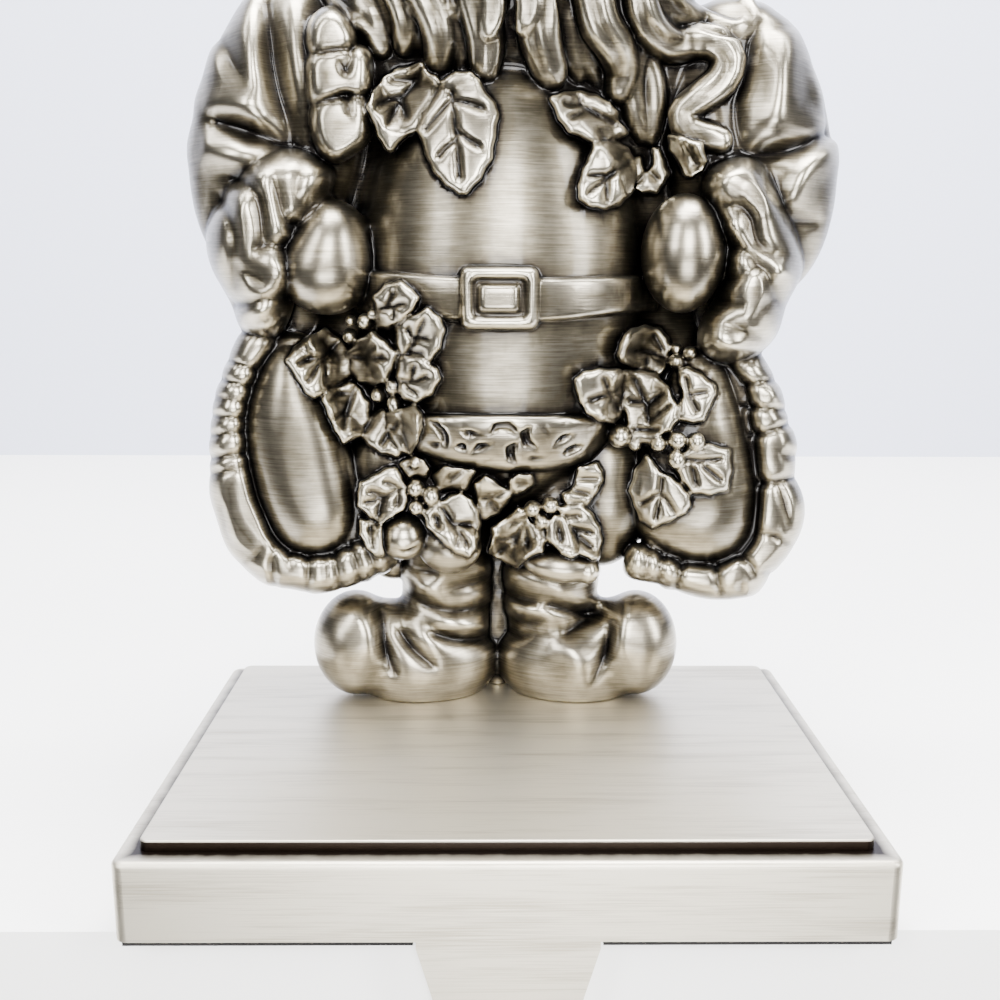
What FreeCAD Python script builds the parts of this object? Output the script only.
import FreeCAD, Part
import math
import os
import Sketcher
from FreeCAD import Vector

# A mantel stocking holder: a hollow cast base with a strap and J-hook at its front edge, and a carved
# figure of a traditional Father Christmas that stands near its back. Millimetres, +Z up, front to -Y.
# The origin is the middle of the pad's underside, which lies on the mantel.

doc = FreeCAD.newDocument("stocking_holder")

SIZES = {
    # base casting
    "base_width": 120.0,
    "base_depth": 83.5,
    "rim_height": 13.1,
    "rim_width": 3.5,
    "plate_step": 1.8,
    "base_corner": 2.0,
    "plate_corner": 1.5,
    "rim_edge": 1.0,
    "plate_edge": 0.4,
    "base_wall": 3.2,
    "top_thick": 4.0,
    # strap and hook
    "strap_thick": 4.5,
    "corner_relief": 0.5,
    "strap_root": 28.2,
    "strap_flare": 23.4,
    "flare_drop": 9.6,
    "hook_width": 14.0,
    "strap_drop": 43.2,
    "taper_drop": 31.0,
    "hook_radius": 7.5,
    "tip_rise": 9.0,
    # pad
    "pad_thick": 1.2,
    "pad_inset": 1.0,
    "pad_clear": 0.5,
    # ballast
    "ballast_thick": 6.0,
    "ballast_clear": 1.0,
    "boss_radius": 5.0,
    "boss_height": 3.5,
    "boss_inset": 11.0,
    # screws
    "screw_radius": 2.0,
    "head_radius": 4.0,
    "head_height": 2.4,
    "figure_screw_long": 16.0,
    "ballast_screw_long": 11.0,
    "screw_slack": 0.05,
    "clear_radius": 2.4,
    "recess_wide": 1.0,
    "recess_deep": 1.2,
    # figure: where it stands, and the small carved pieces
    "figure_x": 0.0,
    "figure_inset": 19.75,
    "sink": 2.2,
    "leaf_thick": 1.9,
    "berry_radius": 1.6,
    "bead_radius": 3.1,
    "belt_height": 80.2,
    "belt_wide": 7.6,
    "belt_thick": 1.1,
    "buckle_wide": 14.0,
    "buckle_tall": 11.0,
    "buckle_thick": 1.8,
    "buckle_frame": 1.9,
    "hem_height": 54.5,
    "hem_wide": 10.0,
    "hem_thick": 2.2,
}

# The figure's rounded masses. Each has its middle to the right of, behind and above the middle of the
# soles, its half width, half depth and half height, and how far its top leans to the right and its
# front turns to the right, in degrees.
MASSES = {
    "belly": (-1.0, -2.0, 82.0, 26.0, 20.0, 44.0, 0, 0),
    "shoulders": (1.0, 4.0, 122.0, 41.0, 14.0, 20.0, 0, 0),
    "torso": (1.0, 6.0, 95.0, 38.0, 12.5, 42.0, 0, 0),
    "coat": (0.0, 6.0, 60.0, 46.0, 12.5, 33.0, 0, 0),
    "left_sleeve": (-42.0, 3.0, 109.0, 17.0, 15.0, 28.0, 12, 0),
    "right_sleeve": (45.0, 3.0, 107.0, 17.0, 15.0, 28.0, -12, 0),
    "left_cuff": (-43.0, -5.0, 88.5, 9.5, 13.0, 16.5, 8, 0),
    "right_cuff": (44.0, -5.0, 86.5, 9.0, 13.0, 17.0, -3, 0),
    "left_mitten": (-29.8, -10.0, 86.7, 7.2, 9.0, 8.7, 0, 0),
    "right_mitten": (29.4, -10.0, 88.4, 7.2, 9.0, 9.0, 0, 0),
    "left_flap": (-38.8, -2.0, 52.5, 11.0, 13.0, 20.5, -8, 0),
    "right_flap": (35.9, -2.0, 50.0, 11.5, 13.0, 19.5, 4, 0),
    "left_lining": (-22.0, 1.0, 47.0, 9.5, 11.0, 16.0, 0, 0),
    "right_lining": (19.0, 1.0, 46.0, 9.5, 11.0, 16.0, 0, 0),
    "left_thigh": (-12.5, 2.0, 40.0, 10.5, 12.0, 16.0, 0, 0),
    "right_thigh": (9.5, 2.0, 40.0, 10.5, 12.0, 16.0, 0, 0),
    "left_shaft": (-12.0, 3.5, 22.0, 8.9, 9.0, 17.0, 0, 0),
    "right_shaft": (9.5, 3.5, 22.0, 9.1, 9.0, 17.0, 0, 0),
    "left_foot": (-16.5, 1.5, 7.0, 14.5, 8.5, 9.5, 0, 12),
    "right_foot": (13.5, 1.5, 7.0, 14.5, 8.5, 9.5, 0, -12),
    "left_toe": (-29.5, 0.5, 10.0, 9.0, 8.2, 10.5, 0, 12),
    "right_toe": (26.0, 0.5, 10.0, 8.2, 8.2, 10.0, 0, -12),
    "web": (-1.3, 8.5, 20.0, 2.6, 3.0, 28.0, 0, 0),
    "beard": (3.0, -7.0, 134.0, 30.0, 11.0, 16.0, 0, 0),
    "head": (0.5, -1.0, 147.0, 12.5, 12.5, 14.0, 0, 0),
    "hood": (0.5, 2.0, 149.0, 15.5, 13.5, 17.0, 0, 0),
    "cap_band": (0.5, -1.0, 157.0, 14.5, 14.5, 4.2, 0, 0),
    "cap": (2.0, 1.0, 161.0, 12.0, 12.0, 10.5, 8, 0),
    "cap_fold": (10.5, 0.0, 164.0, 8.0, 6.5, 5.0, 35, 0),
    "pompon": (16.5, -1.5, 158.5, 4.6, 4.6, 4.6, 0, 0),
}
MASS_PARTS = ("x", "y", "z", "wide", "deep", "tall", "lean", "turn")

sheet = doc.addObject("Spreadsheet::Sheet", "sizes")
rows = dict(SIZES)
for mass, values in MASSES.items():
    for part, value in zip(MASS_PARTS, values):
        rows[f"{mass}_{part}"] = value
for number, (alias, value) in enumerate(rows.items(), start=1):
    sheet.set(f"A{number}", alias)
    sheet.set(f"B{number}", str(value))
    sheet.setAlias(f"B{number}", alias)
doc.recompute()


def size(alias):
    return float(sheet.get(alias))


def bind(thing, **expressions):
    """Bind properties to expressions; in a name, __ stands for a dot, and sheet names are written bare."""
    for name, text in expressions.items():
        thing.setExpression(name.replace("__", "."), text)


def cell(text):
    """Write the sheet's name in front of each alias in an expression."""
    words = sorted(rows, key=len, reverse=True)
    out = ""
    position = 0
    while position < len(text):
        found = next((word for word in words if text.startswith(word, position)), None)
        if found:
            out += "sizes." + found
            position += len(found)
        else:
            out += text[position]
            position += 1
    return out


def box(label, width, depth, height, x, y, z):
    thing = doc.addObject("Part::Box", label)
    bind(thing, Length=cell(width), Width=cell(depth), Height=cell(height),
         Placement__Base__x=cell(x), Placement__Base__y=cell(y), Placement__Base__z=cell(z))
    return thing


def cylinder(label, radius, height, x, y, z):
    thing = doc.addObject("Part::Cylinder", label)
    bind(thing, Radius=cell(radius), Height=cell(height),
         Placement__Base__x=cell(x), Placement__Base__y=cell(y), Placement__Base__z=cell(z))
    return thing


def fuse(label, shapes):
    thing = doc.addObject("Part::MultiFuse", label)
    thing.Shapes = shapes
    return thing


def cut(label, base, tool):
    thing = doc.addObject("Part::Cut", label)
    thing.Base = base
    thing.Tool = tool
    return thing


# Base block: a rectangle padded to the rim and a smaller one padded to the raised plate, hollow below.
base = doc.addObject("PartDesign::Body", "base_block")


def rectangle(name, width, depth, height):
    """A rectangle centred on the origin, drawn on the level plane at the given height."""
    sketch = base.newObject("Sketcher::SketchObject", name)
    level = next(f for f in base.Origin.OriginFeatures if f.Role == "XY_Plane")
    sketch.AttachmentSupport = [(level, "")]
    sketch.MapMode = "FlatFace"
    sketch.setExpression("AttachmentOffset.Base.z", cell(height))
    corners = [Vector(-1, -1, 0), Vector(1, -1, 0), Vector(1, 1, 0), Vector(-1, 1, 0)]
    for start, end in zip(corners, corners[1:] + corners[:1]):
        sketch.addGeometry(Part.LineSegment(start, end), False)
    for line in range(4):
        sketch.addConstraint(Sketcher.Constraint("Coincident", line, 2, (line + 1) % 4, 1))
    sketch.addConstraint(Sketcher.Constraint("Horizontal", 0))
    sketch.addConstraint(Sketcher.Constraint("Horizontal", 2))
    sketch.addConstraint(Sketcher.Constraint("Vertical", 1))
    sketch.addConstraint(Sketcher.Constraint("Vertical", 3))
    sketch.addConstraint(Sketcher.Constraint("Symmetric", 0, 1, 2, 1, -1, 1))
    across = sketch.addConstraint(Sketcher.Constraint("DistanceX", 0, 1, 0, 2, 2.0))
    along = sketch.addConstraint(Sketcher.Constraint("DistanceY", 1, 1, 1, 2, 2.0))
    sketch.setExpression(f"Constraints[{across}]", cell(width))
    sketch.setExpression(f"Constraints[{along}]", cell(depth))
    return sketch


def pad(name, sketch, length):
    feature = base.newObject("PartDesign::Pad", name)
    feature.Profile = sketch
    feature.setExpression("Length", cell(length))
    doc.recompute()
    return feature


def fillet(name, feature, radius, wanted):
    """Round the edges of a feature that the test named wanted picks."""
    names = [f"Edge{n}" for n, edge in enumerate(feature.Shape.Edges, start=1) if wanted(edge)]
    rounding = base.newObject("PartDesign::Fillet", name)
    rounding.Base = (feature, names)
    rounding.setExpression("Radius", cell(radius))
    doc.recompute()
    return rounding


def upright(edge):
    ends = [vertex.Point for vertex in edge.Vertexes]
    return len(ends) == 2 and abs(ends[0].x - ends[1].x) < 1e-6 and abs(ends[0].y - ends[1].y) < 1e-6


def level_at(height):
    return lambda edge: edge.BoundBox.ZLength < 1e-6 and abs(edge.BoundBox.ZMax - height) < 1e-6


rim_top = size("pad_thick") + size("rim_height")
plate_top = rim_top + size("plate_step")

rim = pad("rim", rectangle("rim_outline", "base_width", "base_depth", "pad_thick"), "rim_height")
rim_round = fillet("rim_corners", rim, "base_corner", upright)
rim_soft = fillet("rim_top_edge", rim_round, "rim_edge", level_at(rim_top))
plate_outline = rectangle("plate_outline", "base_width - 2 * rim_width", "base_depth - 2 * rim_width",
                          "pad_thick + rim_height - rim_edge")
plate = pad("raised_plate", plate_outline, "plate_step + rim_edge")
plate_round = fillet("plate_corners", plate, "plate_corner",
                     lambda edge: upright(edge) and edge.BoundBox.ZMax > plate_top - 1e-6)
plate_soft = fillet("plate_top_edge", plate_round, "plate_edge", level_at(plate_top))
hollow = base.newObject("PartDesign::Pocket", "hollow")
hollow.Profile = rectangle("hollow_outline", "base_width - 2 * base_wall", "base_depth - 2 * base_wall",
                           "pad_thick")
hollow.Reversed = True
hollow.setExpression("Length", cell("rim_height + plate_step - top_thick"))
doc.recompute()

# Four bosses in the hollow carry the ballast plate.
CEILING = "pad_thick + rim_height + plate_step - top_thick"
corners = [(sx, sy) for sx in (-1, 1) for sy in (-1, 1)]


def boss_place(sx, sy):
    return (f"{sx} * (base_width / 2 - base_wall - boss_inset)",
            f"{sy} * (base_depth / 2 - base_wall - boss_inset)")


bosses = []
pilots = []
for number, (sx, sy) in enumerate(corners):
    x, y = boss_place(sx, sy)
    bosses.append(cylinder(f"boss_{number}", "boss_radius", "boss_height + top_thick / 4", x, y,
                           f"{CEILING} - boss_height"))
    pilots.append(cylinder(f"pilot_{number}", "screw_radius + screw_slack",
                           "ballast_screw_long - ballast_thick + screw_slack", x, y,
                           f"{CEILING} - boss_height"))

# Two clearance holes under the boots pass the figure's screws.
FIGURE_Y = "base_depth / 2 - figure_inset"
FEET = [("left", "figure_x + left_shaft_x", f"{FIGURE_Y} + left_shaft_y"),
        ("right", "figure_x + right_shaft_x", f"{FIGURE_Y} + right_shaft_y")]
passes = [cylinder(f"{side}_pass", "clear_radius", "top_thick * 2", x, y, f"{CEILING} - top_thick / 2")
          for side, x, y in FEET]

# Strap: wedge-shaped steps that narrow from the base to the hook, flush with the base's front face. Above
# the mantel's top its back is relieved, so that the mantel's sharp edge doesn't hold the strap off.
FRONT = "-base_depth / 2"
BOTTOM = "pad_thick"
ROOT_THICK = "strap_thick - corner_relief"


def taper(label, top_width, low_width, top, low):
    """A strap length between two heights, as wide at each end as it is told."""
    thing = doc.addObject("Part::Wedge", label)
    bind(thing, Xmin="0", Xmax=cell("strap_thick"), Ymin=cell(low), Ymax=cell(top),
         Zmin=cell(f"-({low_width}) / 2"), Zmax=cell(f"({low_width}) / 2"),
         X2min="0", X2max=cell("strap_thick"),
         Z2min=cell(f"-({top_width}) / 2"), Z2max=cell(f"({top_width}) / 2"))
    turn = FreeCAD.Rotation(Vector(0, 1, 0), Vector(0, 0, 1), Vector(1, 0, 0), "ZXY")
    thing.Placement.Rotation = turn
    thing.setExpression("Placement.Base.y", cell(FRONT))
    return thing


root = box("strap_root_block", "strap_root", ROOT_THICK, "pad_thick + rim_height / 2", "-strap_root / 2", FRONT,
           "0")
flare = taper("strap_flare_step", "strap_root", "strap_flare", "0", f"{BOTTOM} - flare_drop")
narrow = taper("strap_taper", "strap_flare", "hook_width", f"{BOTTOM} - flare_drop", f"{BOTTOM} - taper_drop")
straight = box("strap_end", "hook_width", "strap_thick", "strap_drop - taper_drop", "-hook_width / 2", FRONT,
               f"{BOTTOM} - strap_drop")

# Hook: half a ring, then a short rise to a rounded tip.
ACROSS = FreeCAD.Rotation(Vector(0, 1, 0), 90)


def lying(label, radius, length, y, z, angle="360"):
    """A cylinder along X, centred on the strap's middle plane."""
    thing = doc.addObject("Part::Cylinder", label)
    thing.Placement.Rotation = ACROSS
    bind(thing, Radius=cell(radius), Height=cell(length), Angle=angle,
         Placement__Base__x=cell(f"-({length}) / 2"), Placement__Base__y=cell(y), Placement__Base__z=cell(z))
    return thing


HOOK_Y = f"{FRONT} - hook_radius"
HOOK_Z = f"{BOTTOM} - strap_drop"
bend_outer = lying("bend_outer", "hook_radius + strap_thick", "hook_width", HOOK_Y, HOOK_Z)
bend_inner = lying("bend_inner", "hook_radius", "hook_width * 2", HOOK_Y, HOOK_Z)
bend_lid = box("bend_lid", "hook_width * 2", "(hook_radius + strap_thick) * 3", "hook_radius + strap_thick * 2",
               "-hook_width", f"{HOOK_Y} - (hook_radius + strap_thick) * 1.5", HOOK_Z)
bend = cut("bend", cut("bend_ring", bend_outer, bend_inner), bend_lid)
tip = box("tip", "hook_width", "strap_thick", "tip_rise", "-hook_width / 2",
          f"{HOOK_Y} - hook_radius - strap_thick", HOOK_Z)
tip_end = doc.addObject("Part::Cylinder", "tip_end")
tip_end.Placement.Rotation = FreeCAD.Rotation(Vector(1, 0, 0), 90)
bind(tip_end, Radius=cell("hook_width / 2"), Height=cell("strap_thick"),
     Placement__Base__y=cell(f"{HOOK_Y} - hook_radius"), Placement__Base__z=cell(f"{HOOK_Z} + tip_rise"))

solid_base = fuse("base_solid", [base, root, flare, narrow, straight, bend, tip, tip_end] + bosses)
base_casting = cut("base_casting", solid_base, fuse("base_holes", pilots + passes))

# Pad: a foam sheet glued under the base, notched round the strap.
pad_sheet = box("pad_sheet", "base_width - 2 * pad_inset", "base_depth - 2 * pad_inset", "pad_thick",
                "pad_inset - base_width / 2", "pad_inset - base_depth / 2", "0")
pad_notch = box("pad_notch", "strap_root + 2 * pad_clear", f"{ROOT_THICK} + pad_clear", "pad_thick * 3",
                "-strap_root / 2 - pad_clear", FRONT, "-pad_thick")
base_pad = cut("base_pad", pad_sheet, pad_notch)

# Ballast: a steel plate that hangs on the bosses, countersunk for its screws.
BALLAST_TOP = f"{CEILING} - boss_height"
ballast_sheet = box("ballast_sheet", "base_width - 2 * (base_wall + ballast_clear)",
                    "base_depth - 2 * (base_wall + ballast_clear)", "ballast_thick",
                    "base_wall + ballast_clear - base_width / 2", "base_wall + ballast_clear - base_depth / 2",
                    f"{BALLAST_TOP} - ballast_thick")


def countersunk(label, x, y, slack):
    """A shank with a cone under it, opening downwards; slack widens both for the hole."""
    head = doc.addObject("Part::Cone", f"{label}_cone")
    bind(head, Radius1=cell(f"head_radius + {slack}"), Radius2=cell(f"screw_radius + {slack}"),
         Height=cell("head_height"), Placement__Base__x=cell(x), Placement__Base__y=cell(y),
         Placement__Base__z=cell(f"{BALLAST_TOP} - ballast_thick"))
    shank = cylinder(f"{label}_shank", f"screw_radius + {slack}", "ballast_screw_long", x, y,
                     f"{BALLAST_TOP} - ballast_thick")
    return fuse(label, [head, shank])


sinks = [countersunk(f"sink_{n}", *boss_place(sx, sy), "screw_slack") for n, (sx, sy) in enumerate(corners)]
ballast_plate = cut("ballast_plate", ballast_sheet, fuse("ballast_holes", sinks))


def recess(label, x, y, z):
    """A cross recess that opens downwards at the given height."""
    bars = []
    for name, wide, deep in (("a", "head_radius", "recess_wide"), ("b", "recess_wide", "head_radius")):
        bars.append(box(f"{label}_{name}", wide, deep, "recess_deep", f"{x} - ({wide}) / 2",
                        f"{y} - ({deep}) / 2", z))
    return fuse(f"{label}_cross", bars)


ballast_shapes = []
for n, (sx, sy) in enumerate(corners):
    x, y = boss_place(sx, sy)
    whole = countersunk(f"ballast_screw_{n}", x, y, "0")
    ballast_shapes.append(cut(f"ballast_screw_cut_{n}", whole,
                              recess(f"ballast_recess_{n}", x, y, f"{BALLAST_TOP} - ballast_thick")))
ballast_screws = doc.addObject("Part::Compound", "ballast_screws")
ballast_screws.Links = ballast_shapes

# Figure screws: pan heads under the base's ceiling, shanks up into the boots.
figure_shapes = []
for side, x, y in FEET:
    head = cylinder(f"{side}_head", "head_radius", "head_height", x, y, f"{CEILING} - head_height")
    shank = cylinder(f"{side}_shank_rod", "screw_radius", "figure_screw_long", x, y, CEILING)
    cross = recess(f"{side}_recess", x, y, f"{CEILING} - head_height")
    figure_shapes.append(cut(f"{side}_screw", fuse(f"{side}_screw_blank", [head, shank]), cross))
figure_screws = doc.addObject("Part::Compound", "figure_screws")
figure_screws.Links = figure_shapes

# Figure. It is carved with flat facets, as the casting's pattern was blocked out, from the masses in the
# sheet. Small pieces are placed on the front of whatever mass lies there.
axis = Vector(size("figure_x"), size("base_depth") / 2 - size("figure_inset"), plate_top)


class Mass:
    """One rounded mass of the figure, in the figure's own coordinates."""

    def __init__(self, name):
        x, y, z, wide, deep, tall, lean, turn = (size(f"{name}_{part}") for part in MASS_PARTS)
        self.middle = Vector(x, y, z)
        self.half = Vector(wide, deep, tall)
        self.turned = FreeCAD.Rotation(Vector(0, 0, 1), turn).multiply(FreeCAD.Rotation(Vector(0, 1, 0), lean))

    def shrunk(self, point):
        """A point or direction as seen by a mass of radius one at the origin."""
        local = self.turned.inverted().multVec(point)
        return Vector(local.x / self.half.x, local.y / self.half.y, local.z / self.half.z)

    def front(self, x, z):
        """How far forward the mass reaches on the line through x and z, or None beside it."""
        start = self.shrunk(Vector(x, 0, z) - self.middle)
        step = self.shrunk(Vector(0, 1, 0))
        a = step.dot(step)
        b = start.dot(step)
        rest = b * b - a * (start.dot(start) - 1)
        return None if rest < 0 else (-b - math.sqrt(rest)) / a

    def outward(self, point):
        """The surface's normal at a point on it."""
        inner = self.shrunk(point - self.middle)
        local = Vector(inner.x / self.half.x, inner.y / self.half.y, inner.z / self.half.z)
        return self.turned.multVec(local).normalize()


masses = {name: Mass(name) for name in MASSES}


def seat(x, z):
    """The foremost point of the masses at x and z, and the normal there."""
    hits = [(mass.front(x, z), mass) for mass in masses.values()]
    y, mass = min(((y, mass) for y, mass in hits if y is not None), key=lambda hit: hit[0])
    point = Vector(x, y, z)
    return point, mass.outward(point)


def solid_of(faces):
    shell = Part.makeShell([Part.Face(Part.makePolygon(points + points[:1])) for points in faces])
    return Part.Solid(shell)


def patch(a, b, c, d):
    """One flat face through four corners, or two triangles where they don't lie in a plane."""
    if abs((b - a).cross(c - a).dot(d - a)) < 1e-7:
        return [[a, b, c, d]]
    return [[a, b, c], [a, c, d]]


def stacked(rings, top=None, low=None):
    """A solid from rings of points, each above the next, closed by a point or a flat lid at each end."""
    faces = []
    count = len(rings[0])
    for upper, lower in zip(rings, rings[1:]):
        for k in range(count):
            n = (k + 1) % count
            faces += patch(upper[k], lower[k], lower[n], upper[n])
    faces += [[top, rings[0][k], rings[0][(k + 1) % count]] for k in range(count)] if top else [rings[0]]
    if low:
        faces += [[low, rings[-1][(k + 1) % count], rings[-1][k]] for k in range(count)]
    else:
        faces.append(rings[-1][::-1])
    return solid_of(faces)


def lump(middle, half, turned=FreeCAD.Rotation(), sides=6, levels=4):
    """A faceted egg, whose upright edges stand off the true egg so that its facets touch it."""
    swell = 1 / math.cos(math.pi / sides)

    def at(around, down):
        reach = math.sin(down) * swell
        local = Vector(half.x * reach * math.cos(around), half.y * reach * math.sin(around),
                       half.z * math.cos(down))
        return middle + turned.multVec(local)
    rings = [[at(2 * math.pi * (k + 0.3) / sides, math.pi * level / levels) for k in range(sides)]
             for level in range(1, levels)]
    return stacked(rings, at(0, 0), at(0, math.pi))


def ring_points(mass, height, extra, sides=16):
    """Points round a mass's front half at a height above the soles, standing off it by extra."""
    rise = (height - mass.middle.z) / mass.half.z
    share = math.sqrt(1 - rise * rise)
    angles = [-math.pi * k / sides for k in range(sides, -1, -1)]
    return [Vector(mass.middle.x + (mass.half.x * share + extra) * math.cos(angle),
                   mass.middle.y + (mass.half.y * share + extra) * math.sin(angle), height)
            for angle in angles]


def band(mass, middle, wide, thick):
    """A raised band across a mass's front, bevelled at its edges."""
    half = wide / 2
    bevel = min(half, thick) * 0.6
    levels = [(half, thick * 0.2), (half - bevel, thick), (bevel - half, thick), (-half, thick * 0.2)]
    return stacked([ring_points(mass, middle + rise, extra) for rise, extra in levels])


def leaf(x, z, long, wide, heading):
    """A puffed leaf with a sunk midrib; its tip points to heading, in degrees from +X towards +Z."""
    point, normal = seat(x, z)
    along = Vector(math.cos(math.radians(heading)), 0, math.sin(math.radians(heading)))
    along = (along - normal * along.dot(normal)).normalize()
    side = normal.cross(along)
    thick = size("leaf_thick")
    outline = [(0.5, 0), (0.2, 0.5), (-0.25, 0.42), (-0.5, 0.12), (-0.5, -0.12), (-0.25, -0.42), (0.2, -0.5)]

    def place(share, across, shrink, rise):
        return point + along * (share * long * shrink) + side * (across * wide * shrink) + normal * rise
    rings = [[place(a, c, shrink, rise) for a, c in outline]
             for shrink, rise in ((0.7, thick), (1.0, thick * 0.45), (1.0, -size("sink")))]
    crown = place(0, 0, 0, thick * 0.55)
    return stacked(rings, crown)


def tuft(x, z, wide, tall, lean=0.0, deep=2.6, sides=6, levels=3):
    """A raised lump of carving seated on the front."""
    point, normal = seat(x, z)
    half = Vector(wide / 2, deep, tall / 2)
    return lump(point, half, FreeCAD.Rotation(Vector(0, 1, 0), lean), sides, levels)


def berry(x, z, share=1.0):
    point, normal = seat(x, z)
    radius = size("berry_radius") * share
    return lump(point + normal * radius * 0.2, Vector(radius, radius, radius), sides=6, levels=3)


def trim(flap, start, end):
    """A row of fur beads round a coat flap's edge, from one angle to another."""
    mass = masses[flap]
    radius = size("bead_radius")
    sweep = math.radians(end - start)
    gaps = round(abs(sweep) * (mass.half.x + mass.half.z + 2 * radius) / 2 / (radius * BEAD_PITCH))
    beads = []
    for k in range(gaps + 1):
        angle = math.radians(start) + sweep * k / gaps
        local = Vector((mass.half.x + radius * 0.8) * math.cos(angle), -mass.half.y * 0.45,
                       (mass.half.z + radius * 0.8) * math.sin(angle))
        fold = FreeCAD.Rotation(Vector(0, 1, 0), 90 - math.degrees(angle) + 8 * (-1) ** k)
        half = Vector(radius * 0.95, radius * 1.25, radius * (1.05 + 0.12 * (-1) ** k))
        beads.append(lump(mass.middle + mass.turned.multVec(local), half, fold))
    return beads


def buckle():
    """A rectangular buckle on the belt: a frame round a raised plate."""
    belly = masses["belly"]
    wide, tall, frame, thick = (size(f"buckle_{part}") for part in ("wide", "tall", "frame", "thick"))
    point, _ = seat(belly.middle.x, size("belt_height"))
    front = point.y - size("belt_thick") - thick
    deep = thick + size("belt_thick") + size("sink") * 2

    def block(share_wide, share_tall, y, depth):
        corner = Vector(belly.middle.x - share_wide / 2, y, size("belt_height") - share_tall / 2)
        return Part.makeBox(share_wide, depth, share_tall, corner)
    outer = block(wide, tall, front, deep)
    window = block(wide - 2 * frame, tall - 2 * frame, front, thick)
    plate = block(wide - 3.4 * frame, tall - 3.4 * frame, front + thick * 0.3, deep - thick * 0.3)
    return outer.cut(window).fuse(plate)


CHEST_LEAVES = [(-8.4, 108, 20, 12, 268), (-18.6, 110.5, 14, 9.5, 240), (-19.6, 116, 9, 5, 195),
                (13.3, 111, 13, 7, 160), (17.2, 101.3, 12, 9.5, 262), (24.2, 102, 9, 5, 265),
                (30.5, 103, 8, 4.5, 275)]
LEFT_HIP_LEAVES = [(-19.8, 79.2, 8, 7, 50), (-15.7, 74, 10, 7, 70), (-16, 66, 8, 7.5, 20),
                   (-24.7, 70, 9, 8.5, 80), (-33.3, 69, 13, 10, 170), (-29, 60.5, 11, 8.5, 265),
                   (-22.6, 56.5, 11, 7, 300), (-18, 56.5, 10, 6, 275)]
RIGHT_HIP_LEAVES = [(24.7, 71.3, 10, 8.5, 190), (17, 63, 9.5, 9, 200), (26.4, 61, 14, 9.5, 285),
                    (34.5, 63, 10, 7, 290), (36.5, 49, 11, 8.5, 330), (27.5, 45.5, 14, 10, 265)]
KNEE_LEAVES = [(-22.6, 44, 9, 9, 190), (-10.3, 37.5, 12, 10, 290), (-25.2, 36, 6, 4, 265),
               (0.3, 37, 10, 7, 230), (4.7, 34.5, 8, 5, 265), (10.4, 36.5, 9, 5, 300), (15.6, 37, 11, 6.5, 280),
               (15.8, 46.5, 9, 5, 80), (-3.6, 44.3, 7, 6, 330), (3, 44.8, 7, 5, 240)]
BERRIES = [(-28.5, 76.4), (-26, 76), (-28.8, 73.4), (-23, 63), (-20.7, 64.5), (-20.5, 61.3),
           (30.5, 72), (33, 71.5), (31.5, 69), (31.5, 54.5), (35, 54.5), (28, 53.4), (31.5, 51), (21.5, 55.4),
           (-16.8, 46), (-13.8, 44.2), (-17, 42), (-17.5, 49.5), (5, 41), (9, 42), (7.3, 39)]
# The apple: x, height, width, height, lean and half depth.
APPLE = (-19.6, 35.4, 9.2, 9.2, 0, 4.5)
# The fur beads round the flaps: first and last angle, and the bead's pitch as a share of its radius.
LEFT_TRIM = (128, 318)
RIGHT_TRIM = (45, -135)
BEAD_PITCH = 1.35
# Beard locks and the fur of the coat's opening: x, height, width, length and lean.
LOCKS = [(-11, 125, 7, 17, 0), (-4, 124, 7, 16, 6), (-17, 128, 5, 14, -4), (-23, 130, 7, 12, -20),
         (4, 123, 6, 17, 0), (10, 126, 6, 14, -12), (16, 122, 6, 20, -10), (21.5, 115.5, 4, 15, 5),
         (25, 114, 4, 13, -3), (27, 128, 6, 14, 8), (34, 121, 6, 13, -28), (32.5, 114.5, 6, 12, 30),
         (34.5, 109.5, 5, 9, -50), (-29.3, 124, 8, 7, 0), (-29.2, 117.5, 8.5, 8.5, 0), (-28.7, 110, 9, 9.5, 0)]
SLEEVE_FOLDS = [(-42.5, 121, 4, 19, 0), (-49, 113, 4, 11, -40), (-47, 105.5, 7, 9, -50), (-37, 124, 4, 20, -6),
                (47.5, 117, 4.5, 15, 3), (53.5, 108, 9, 7, 60), (43, 125, 5, 18, -4), (50, 102, 5, 12, 35)]
CUFF_FOLDS = [(-38, 99.5, 6, 9, -12), (-41.5, 96, 4, 13, -8), (-46.5, 92, 5.5, 14, -14), (-50.5, 88, 4, 15, -4),
              (-43, 85, 8, 8, 20), (-45, 77, 8, 8, 30), (41, 98.5, 8, 10, 40), (46.5, 92.5, 6, 12, -28),
              (41.5, 91, 5, 12, -10), (45.5, 82, 7, 13, 12), (40, 75.5, 9, 8, 60)]
FACE = [(0.5, 146.5, 4.2, 5.5, 0), (-5.6, 142, 10, 4.6, 18), (6.6, 142, 10, 4.6, -18), (-6.5, 146, 6, 5, 0),
        (7.5, 146, 6, 5, 0), (-5.2, 152, 6, 2.2, -8), (6.2, 152, 6, 2.2, 8)]

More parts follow.
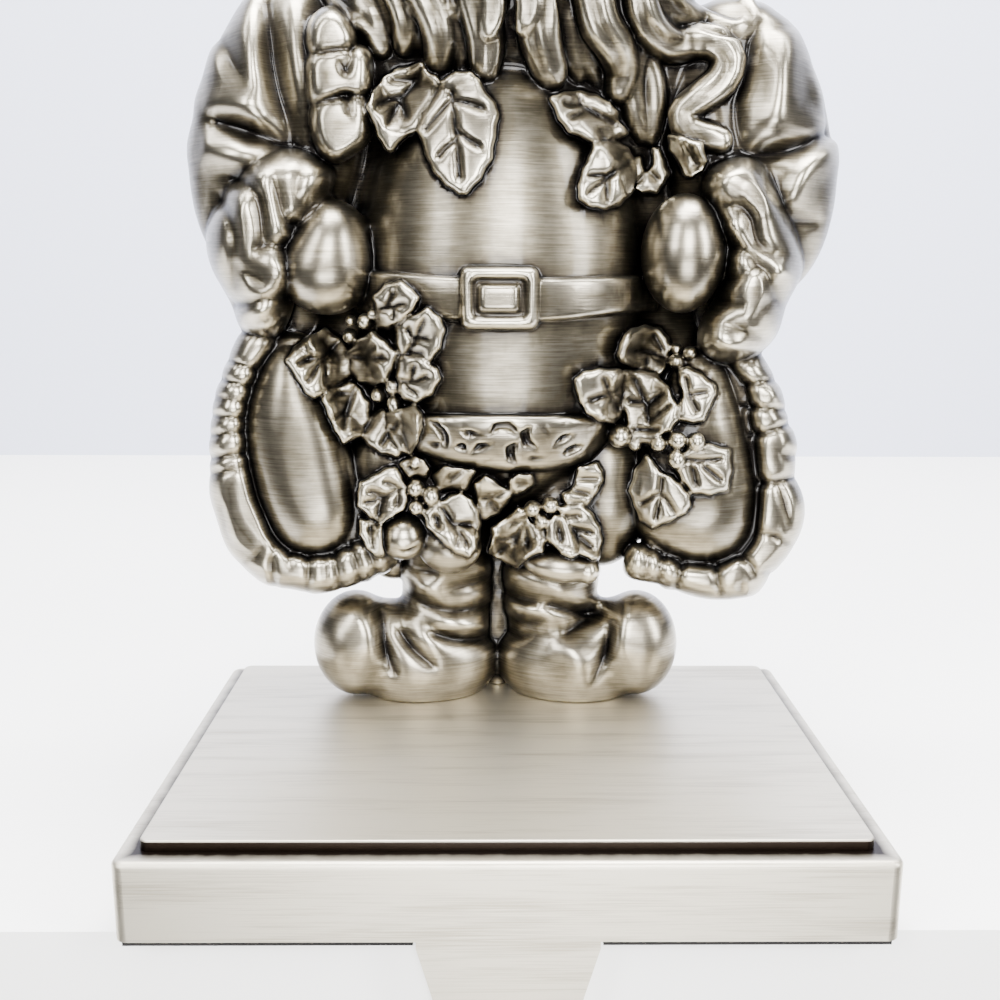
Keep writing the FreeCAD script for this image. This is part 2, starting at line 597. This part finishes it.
# The boots are cut flat at the soles and bored for the screws from below.
reach = size("base_width") * 4
below = Part.makeBox(reach, reach, reach, Vector(-reach / 2, -reach / 2, -reach))
bore_deep = size("figure_screw_long") - size("top_thick") + size("screw_radius")
bores = [Part.makeCylinder(size("screw_radius") + size("screw_slack"), bore_deep,
                           Vector(size(f"{side}_shaft_x"), size(f"{side}_shaft_y"), 0))
         for side in ("left", "right")]

# A large mass has more facets than a small one.
LARGE = 20.0
pieces = []
for name, mass in masses.items():
    large = max(mass.half) > LARGE
    whole = lump(mass.middle, mass.half, mass.turned, 15 if large else 12, 8 if large else 6)
    if mass.middle.z < mass.half.z:
        whole = whole.cut(below)
    if name.endswith(("shaft", "foot")):
        whole = whole.cut(bores)
    pieces.append(whole)
pieces.append(band(masses["belly"], size("belt_height"), size("belt_wide"), size("belt_thick")))
pieces.append(band(masses["belly"], size("hem_height"), size("hem_wide"), size("hem_thick")))
pieces.append(buckle())
for group in (CHEST_LEAVES, LEFT_HIP_LEAVES, RIGHT_HIP_LEAVES, KNEE_LEAVES):
    pieces += [leaf(*values) for values in group]
pieces += [berry(x, z) for x, z in BERRIES]
for group in (LOCKS, SLEEVE_FOLDS, CUFF_FOLDS, FACE):
    pieces += [tuft(*values) for values in group]
pieces.append(tuft(*APPLE, sides=8, levels=5))
pieces += trim("left_flap", *LEFT_TRIM)
pieces += trim("right_flap", *RIGHT_TRIM)

carved = pieces[0].multiFuse(pieces[1:])
figure = doc.addObject("Part::Feature", "figure")
figure.Shape = carved
figure.Placement = FreeCAD.Placement(axis, FreeCAD.Rotation())

doc.recompute()

NODES = {
    "base_casting": base_casting,
    "base_pad": base_pad,
    "ballast_plate": ballast_plate,
    "ballast_screws": ballast_screws,
    "figure_screws": figure_screws,
    "figure": figure,
}
for thing in doc.Objects:
    if "Invalid" in thing.State or "Error" in thing.State:
        raise RuntimeError(f"{thing.Label} failed: {thing.State}")
os.makedirs("parts", exist_ok=True)
for label, thing in NODES.items():
    thing.Label = label
    if thing.Shape.isNull() or not thing.Shape.isValid():
        raise RuntimeError(f"{label} has no valid shape")
    print(label, "solids", len(thing.Shape.Solids), "faces", len(thing.Shape.Faces),
          "cm3", round(thing.Shape.Volume / 1000, 2), thing.Shape.BoundBox)
for label, thing in NODES.items():
    thing.Shape.exportStep(f"parts/{label}.step")
